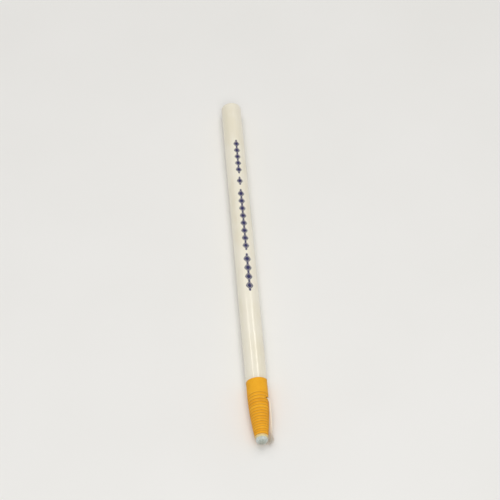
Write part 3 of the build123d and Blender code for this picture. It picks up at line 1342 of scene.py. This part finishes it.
@dataclass(frozen=True)
class Strands(ABC):
    """Strands of one kind that follow the string's route.

    The route lies in the string's own flat frame of station, reach and sideways, and its strands are wrapped
    round the nose.
    """

    LOWEST: ClassVar[int] = 2
    HIGHEST: ClassVar[int] = 3
    DRAWN_NUMBER: ClassVar[int] = 1

    layout: Layout
    tuft_width: float = 3.2 * MM
    seed: int = 7

    @abstractmethod
    def part(self, shape: Shape, route: Term, tuft: Term) -> Term:
        """Draws the strands into a tree.

        Args:
            shape: The tree.
            route: Curve that the string follows.
            tuft: Length of the frayed end.

        Returns:
            Closed tubes.
        """

    def copies(self, shape: Shape, route: Term, amount: Term) -> tuple[Term, Term]:
        """Copies the route.

        Args:
            shape: Tree that the nodes go into.
            route: The route.
            amount: How many copies there are.

        Returns:
            The copies, and the number of each.
        """
        sockets = {"Geometry": route, "Amount": amount}
        several = shape.add("GeometryNodeDuplicateElements", {"domain": "SPLINE"}, sockets)
        return several, several.other("Duplicate Index")

    def drawn(self, shape: Shape, number: Term, span: Span, draw: Draw) -> Term:
        """A seeded random value within a span, for each copy by its number."""
        sockets = {self.LOWEST: span[0], self.HIGHEST: span[1], "ID": number, "Seed": self.seed + draw.value}
        return shape.add("FunctionNodeRandomValue", {"data_type": "FLOAT"}, sockets, self.DRAWN_NUMBER)

    def waved(self, shape: Shape, number: Term, along: Term, length: float, draw: Draw) -> Term:
        """A wave of that length along each copy, from -1 to 1, with a random start."""
        begun = self.drawn(shape, number, UNIT, draw)
        return shape.math("SINE", (along / length + begun) * TURN)

    def laid(self, shape: Shape, curves: Term, up: Term, side: Term) -> Term:
        """Moves copies off the route and wraps them round the nose.

        Args:
            shape: Tree that the nodes go into.
            curves: The copies.
            up: How far they move outwards.
            side: How far they move sideways.

        Returns:
            The moved curves.
        """
        station, reach, across = shape.split(shape.add("GeometryNodeInputPosition"))
        lifted = reach + up
        angle = (across + side) / lifted + self.layout.string_angle
        place = shape.round_place(station, lifted, angle, self.layout.axis_height)
        return shape.add("GeometryNodeSetPosition", sockets={"Geometry": curves, "Position": place})

    def trimmed(self, shape: Shape, curves: Term, start: Number, end: Number) -> Term:
        """Curves cut to the stretch between two shares of their length."""
        sockets = {"Curve": curves, "Start": start, "End": end}
        return shape.add("GeometryNodeTrimCurve", {"mode": "FACTOR"}, sockets)

    def tubes(
        self, shape: Shape, curves: Term, radius: Number, sides: int, marks: dict[Mark, Number]
    ) -> Term:
        """Closed tubes along curves.

        Args:
            shape: Tree that the nodes go into.
            curves: The curves.
            radius: Radius of the tubes.
            sides: How many sides they have.
            marks: Values that they carry for their finish.

        Returns:
            The tubes.
        """
        for mark, value in marks.items():
            sockets = {"Geometry": curves, "Name": mark.value, "Value": value}
            settings = {"data_type": "FLOAT", "domain": "POINT"}
            curves = shape.add("GeometryNodeStoreNamedAttribute", settings, sockets)
        ring = shape.add("GeometryNodeCurvePrimitiveCircle", sockets={"Resolution": sides, "Radius": 1.0})
        sockets = {"Curve": curves, "Profile Curve": ring, "Scale": radius, "Fill Caps": True}
        return shape.add("GeometryNodeCurveToMesh", sockets=sockets)


@dataclass(frozen=True)
class Yarns(Strands):
    """Yarns twisted in plies, which slacken along the tail and part into a forked tuft at its end."""

    plies: int = 3
    per_ply: int = 6
    lay: float = 3.2 * MM
    yarn_lay: float = 2.1 * MM
    ply_orbit: float = 0.225 * MM
    yarn_orbit: float = 0.12 * MM
    radius: float = 0.11 * MM
    sides: int = 6
    slackening: Span = (3.6, 1.9)
    slack: float = 0.3
    loosening: Span = (1.9, 0.1)
    loosening_power: float = 1.6
    spread: Span = (0.26, 1.0)
    lift: Span = (-0.4 * MM, 0.75 * MM)
    wave_length: float = 2.4 * MM
    wave_height: float = 0.1 * MM
    ends: Span = (0.955, 1.0)
    thinning: float = 0.45

    def part(self, shape: Shape, route: Term, tuft: Term) -> Term:
        """Draws the yarns into a tree.

        Args:
            shape: The tree.
            route: Curve that the string follows.
            tuft: Length of the frayed end.

        Returns:
            Closed tubes.
        """
        per_ply = shape.size("Yarns per ply", self.per_ply)
        yarn_orbit = shape.size("Yarn orbit", self.yarn_orbit)
        radius = shape.size("Yarn radius", self.radius)
        curves, number = self.copies(shape, route, per_ply * self.plies)
        along = shape.add("GeometryNodeSplineParameter", output="Length")
        left = shape.add("GeometryNodeSplineLength") - along
        loose = shape.smooth(left, *[tuft * share for share in self.loosening]) ** self.loosening_power
        slackened = 1 + self.slack * shape.smooth(left, *[tuft * share for share in self.slackening])
        held = (1 - loose) * slackened
        ply = shape.math("MODULO", number, float(self.plies))
        yarn = shape.math("FLOOR", number / self.plies)
        ply_angle = (along / self.lay + ply / self.plies) * TURN
        yarn_angle = (yarn / per_ply - along / self.yarn_lay) * TURN
        twist = {}
        for function in ("COSINE", "SINE"):
            ply_place = shape.math(function, ply_angle) * self.ply_orbit
            twist[function] = (ply_place + shape.math(function, yarn_angle) * yarn_orbit) * held
        fork = shape.math("MODULO", number, 2.0) * 2 - 1
        spread = fork * self.drawn(shape, number, self.spread, Draw.YARN_SPREAD) * (self.tuft_width / 2)
        wave = self.waved(shape, number, along, self.wave_length, Draw.YARN_WAVE) * self.wave_height
        up = twist["COSINE"] + self.drawn(shape, number, self.lift, Draw.YARN_LIFT) * loose
        twisted = self.laid(shape, curves, up, twist["SINE"] + (spread + wave) * loose)
        trimmed = self.trimmed(shape, twisted, 0.0, self.drawn(shape, number, self.ends, Draw.YARN_END))
        marks = {Mark.TONE: self.drawn(shape, number, UNIT, Draw.YARN_TONE), Mark.FRAYED: loose}
        return self.tubes(shape, trimmed, radius * (1 - loose * self.thinning), self.sides, marks)


@dataclass(frozen=True)
class Fibres(Strands):
    """Fine fibres that stand loose in the tuft."""

    count: int = 90
    radius: float = 0.022 * MM
    sides: int = 4
    loosening: float = 1.15
    spread: Span = (-0.62, 0.62)
    lift: Span = (-0.45 * MM, 1.1 * MM)
    wave_length: float = 1.9 * MM
    wave_height: float = 0.16 * MM
    starts: Span = (0.7, 1.1)
    ends: Span = (0.0, 0.3)

    def part(self, shape: Shape, route: Term, tuft: Term) -> Term:
        """Draws the fibres into a tree.

        Args:
            shape: The tree.
            route: Curve that the string follows.
            tuft: Length of the frayed end.

        Returns:
            Closed tubes.
        """
        curves, number = self.copies(shape, route, shape.size("Fibres", self.count))
        along = shape.add("GeometryNodeSplineParameter", output="Length")
        whole = shape.add("GeometryNodeSplineLength")
        loose = shape.smooth(whole - along, tuft * self.loosening, 0.0)
        wave = self.waved(shape, number, along, self.wave_length, Draw.FIBRE_WAVE) * self.wave_height
        spread = self.drawn(shape, number, self.spread, Draw.FIBRE_SPREAD) * self.tuft_width
        lift = self.drawn(shape, number, self.lift, Draw.FIBRE_LIFT)
        moved = self.laid(shape, curves, lift * loose, (spread + wave) * loose)
        start = 1 - tuft * self.drawn(shape, number, self.starts, Draw.FIBRE_START) / whole
        end = 1 - tuft * self.drawn(shape, number, self.ends, Draw.FIBRE_END) / whole
        marks = {Mark.TONE: self.drawn(shape, number, UNIT, Draw.FIBRE_TONE), Mark.FRAYED: loose}
        return self.tubes(shape, self.trimmed(shape, moved, start, end), self.radius, self.sides, marks)


@dataclass(frozen=True)
class Hairs(Strands):
    """Short stray hairs along the tail."""

    count: int = 60
    radius: float = 0.01 * MM
    sides: int = 3
    starts: Span = (0.3, 0.75)
    lengths: Span = (0.02, 0.06)
    clock: Span = (-1.5, 1.5)
    foot: float = 0.3 * MM
    reach: Span = (0.1 * MM, 0.45 * MM)
    tones: Span = (0.0, 0.6)

    def part(self, shape: Shape, route: Term, tuft: Term) -> Term:
        """Draws the hairs into a tree.

        Args:
            shape: The tree.
            route: Curve that the string follows.
            tuft: Length of the frayed end, which the hairs don't depend on.

        Returns:
            Closed tubes.
        """
        curves, number = self.copies(shape, route, shape.size("Hairs", self.count))
        start = self.drawn(shape, number, self.starts, Draw.HAIR_START)
        length = self.drawn(shape, number, self.lengths, Draw.HAIR_LENGTH)
        pieces = self.trimmed(shape, curves, start, start + length)
        share = shape.add("GeometryNodeSplineParameter", output="Factor")
        clock = self.drawn(shape, number, self.clock, Draw.HAIR_CLOCK)
        off = share * share * self.drawn(shape, number, self.reach, Draw.HAIR_REACH) + self.foot
        moved = self.laid(shape, pieces, shape.math("COSINE", clock) * off, shape.math("SINE", clock) * off)
        marks = {Mark.TONE: self.drawn(shape, number, self.tones, Draw.HAIR_TONE), Mark.FRAYED: 0.0}
        return self.tubes(shape, moved, self.radius, self.sides, marks)


@dataclass
class PullString(SubAssembly):
    """Twisted cotton string: the run that the casing holds and the free tail with its frayed end."""

    step: float = 0.1 * MM
    tuft_length: float = 4.8 * MM
    run_step: float = 0.4 * MM
    run_reach: float = 3.01 * MM
    run_end: float = -5.2 * MM
    run_ply_radius: float = 0.215 * MM
    fold_span: float = 1.4 * MM
    curve_order: int = 3
    crease: float = math.radians(60)

    def tail_offsets(self) -> list[Place]:
        """Way out of the paper and along the nose.

        Returns:
            Offsets from the fold: forward, outward and sideways.
        """
        sunk = self.run_reach - self.layout.fold_reach
        return [
            (-7.0 * MM, sunk, 0.0),
            (-5.4 * MM, sunk, 0.0),
            (-3.7 * MM, sunk, 0.0),
            (-1.9 * MM, -0.9 * MM, 0.0),
            (-0.7 * MM, -0.34 * MM, 0.0),
            (0.25 * MM, 0.05 * MM, 0.03 * MM),
            (2.2 * MM, -0.08 * MM, 0.3 * MM),
            (5.0 * MM, -0.26 * MM, 0.9 * MM),
            (8.2 * MM, -0.34 * MM, 1.4 * MM),
            (11.6 * MM, -0.55 * MM, 2.1 * MM),
            (15.2 * MM, -0.7 * MM, 3.1 * MM),
            (17.9 * MM, -0.7 * MM, 4.1 * MM),
        ]

    def curve(self, name: str, route: list[Place]) -> bpy.types.Object:
        """Smooth curve in the string's own flat frame.

        Args:
            name: Name of the curve.
            route: Its control points: station, reach and sideways.

        Returns:
            The curve.
        """
        data = bpy.data.curves.new(name, "CURVE")
        data.dimensions = "3D"
        spline = data.splines.new("NURBS")
        spline.points.add(len(route) - 1)
        for point, place in zip(spline.points, route):
            point.co = (*place, 1.0)
        spline.order_u = self.curve_order
        spline.use_endpoint_u = True
        return placed(name, data)

    def tail_curve(self) -> bpy.types.Object:
        """Route of the tail, from inside the paper to the end of the tuft."""
        start = Vector((self.layout.fold.x, self.layout.fold_reach, 0.0))
        return self.curve("tail_route", [tuple(start + Vector(offset)) for offset in self.tail_offsets()])

    def run_curve(self) -> bpy.types.Object:
        """Route of the held run beside the core.

        Returns:
            The curve.
        """
        rear = self.layout.casing_rear
        end = self.layout.fold.x + self.run_end
        stations = (rear, (rear + end) / 2, end)
        return self.curve("run_route", [(station, self.run_reach, 0.0) for station in stations])

    def shape(self, material: bpy.types.Material) -> Shape:
        """Tree that twists yarns round the route, frays their ends and adds loose fibres.

        Args:
            material: Finish of the cotton.

        Returns:
            The tree.
        """
        shape = Shape("twisted_cotton")
        sockets = {"Curve": shape.geometry, "Length": shape.size("Step", self.step)}
        route = shape.add("GeometryNodeResampleCurve", {"mode": "LENGTH"}, sockets)
        tuft = shape.size("Tuft length", self.tuft_length)
        kinds = (Yarns(self.layout), Fibres(self.layout), Hairs(self.layout))
        shape.close([kind.part(shape, route, tuft) for kind in kinds], material)
        return shape

    def build(self) -> None:
        """Makes the run and the tail, dresses them, ties the run to the barrel and bakes the tail's place
        into its mesh.
        """
        shape = self.shape(Cotton().material())
        plain_plies = {
            "Step": self.run_step,
            "Yarns per ply": 1,
            "Yarn orbit": 0.0,
            "Yarn radius": self.run_ply_radius,
            "Fibres": 0,
            "Hairs": 0,
            "Tuft length": self.run_step,
        }
        run = placed("string_in_casing", shape.run(self.run_curve(), plain_plies))
        tail = placed("string_free_tail", shape.run(self.tail_curve()))
        self.dress(run, Slot.COTTON, "pull_string_run", self.crease)
        self.dress(tail, Slot.COTTON, "pull_string_tail", self.crease)
        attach(run, Body.BARREL.value)
        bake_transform(tail)


@dataclass(frozen=True)
class Softbox:
    """A soft studio lamp that faces the marker."""

    name: str
    place: Place
    width: float
    length: float
    power: float
    colour: str = "FFFFFF"

    def hang(self) -> None:
        """Adds the lamp to the scene."""
        lamp = bpy.data.lights.new(self.name, "AREA")
        lamp.shape = "RECTANGLE"
        lamp.size = self.width
        lamp.size_y = self.length
        lamp.energy = self.power
        lamp.color = linear(self.colour)[:3]
        item = placed(self.name, lamp)
        item.location = self.place
        item.rotation_mode = "QUATERNION"
        item.rotation_quaternion = (-Vector(self.place)).to_track_quat("-Z", "Y")


@dataclass
class Studio:
    """Floor, lamps and the camera at the photograph's angle."""

    floor_half: float = 3.0
    eye: Place = (0.46326, -0.03322, 0.62071)
    pan: float = math.radians(175.658)
    tilt: float = math.radians(52.537)
    focal_pixels: float = 1783.5
    image_pixels: float = 500.0
    sky: str = "F7F7F8"
    sky_strength: float = 0.42
    lamps: tuple[Softbox, ...] = (
        Softbox("lamp_right", (-0.547, 0.361, 0.797), width=0.18, length=0.14, power=0.5, colour="FFF7EA"),
        Softbox("lamp_left", (-0.547, -0.421, 0.767), width=0.12, length=0.14, power=0.36, colour="FFF6EC"),
        Softbox("lamp_above", (-0.12, 0.0, 1.0), width=0.8, length=0.8, power=3.0),
        Softbox("lamp_front", (0.7, 0.03, 0.85), width=0.6, length=0.6, power=4.3),
    )

    def floor(self) -> None:
        """Lays the floor."""
        half = self.floor_half
        mesh = bpy.data.meshes.new("floor")
        corners = [(-half, -half, 0.0), (half, -half, 0.0), (half, half, 0.0), (-half, half, 0.0)]
        mesh.from_pydata(corners, [], [range(len(corners))])
        mesh.materials.append(StudioFloor().material())
        placed("floor", mesh)

    def light(self) -> None:
        """Hangs the lamps and sets the even light of the room."""
        world = bpy.data.worlds.new("room")
        world.use_nodes = True
        room = world.node_tree.nodes["Background"]
        room.inputs["Color"].default_value = linear(self.sky)
        room.inputs["Strength"].default_value = self.sky_strength
        bpy.context.scene.world = world
        bpy.context.scene.view_settings.view_transform = "Standard"
        for lamp in self.lamps:
            lamp.hang()

    def camera(self) -> None:
        """Sets up the camera."""
        data = bpy.data.cameras.new("camera")
        data.lens = data.sensor_width * self.focal_pixels / self.image_pixels
        data.clip_start = MM
        item = placed("camera", data)
        item.location = self.eye
        item.rotation_euler = (math.pi / 2 - self.tilt, 0.0, self.pan - math.pi / 2)
        bpy.context.scene.camera = item

    def build(self) -> None:
        """Makes the whole studio."""
        self.floor()
        self.light()
        self.camera()


def main() -> None:
    """Builds the marker piece by piece, and then the studio round it."""
    logging.basicConfig(level=logging.INFO, format="%(message)s")
    layout = Layout.from_frame()
    for part in (Barrel(layout), PaperCasing(layout), WaxCore(layout), PullString(layout), Studio()):
        part.build()
        LOG.info("%s is built", type(part).__name__)


if __name__ == "__main__":
    main()
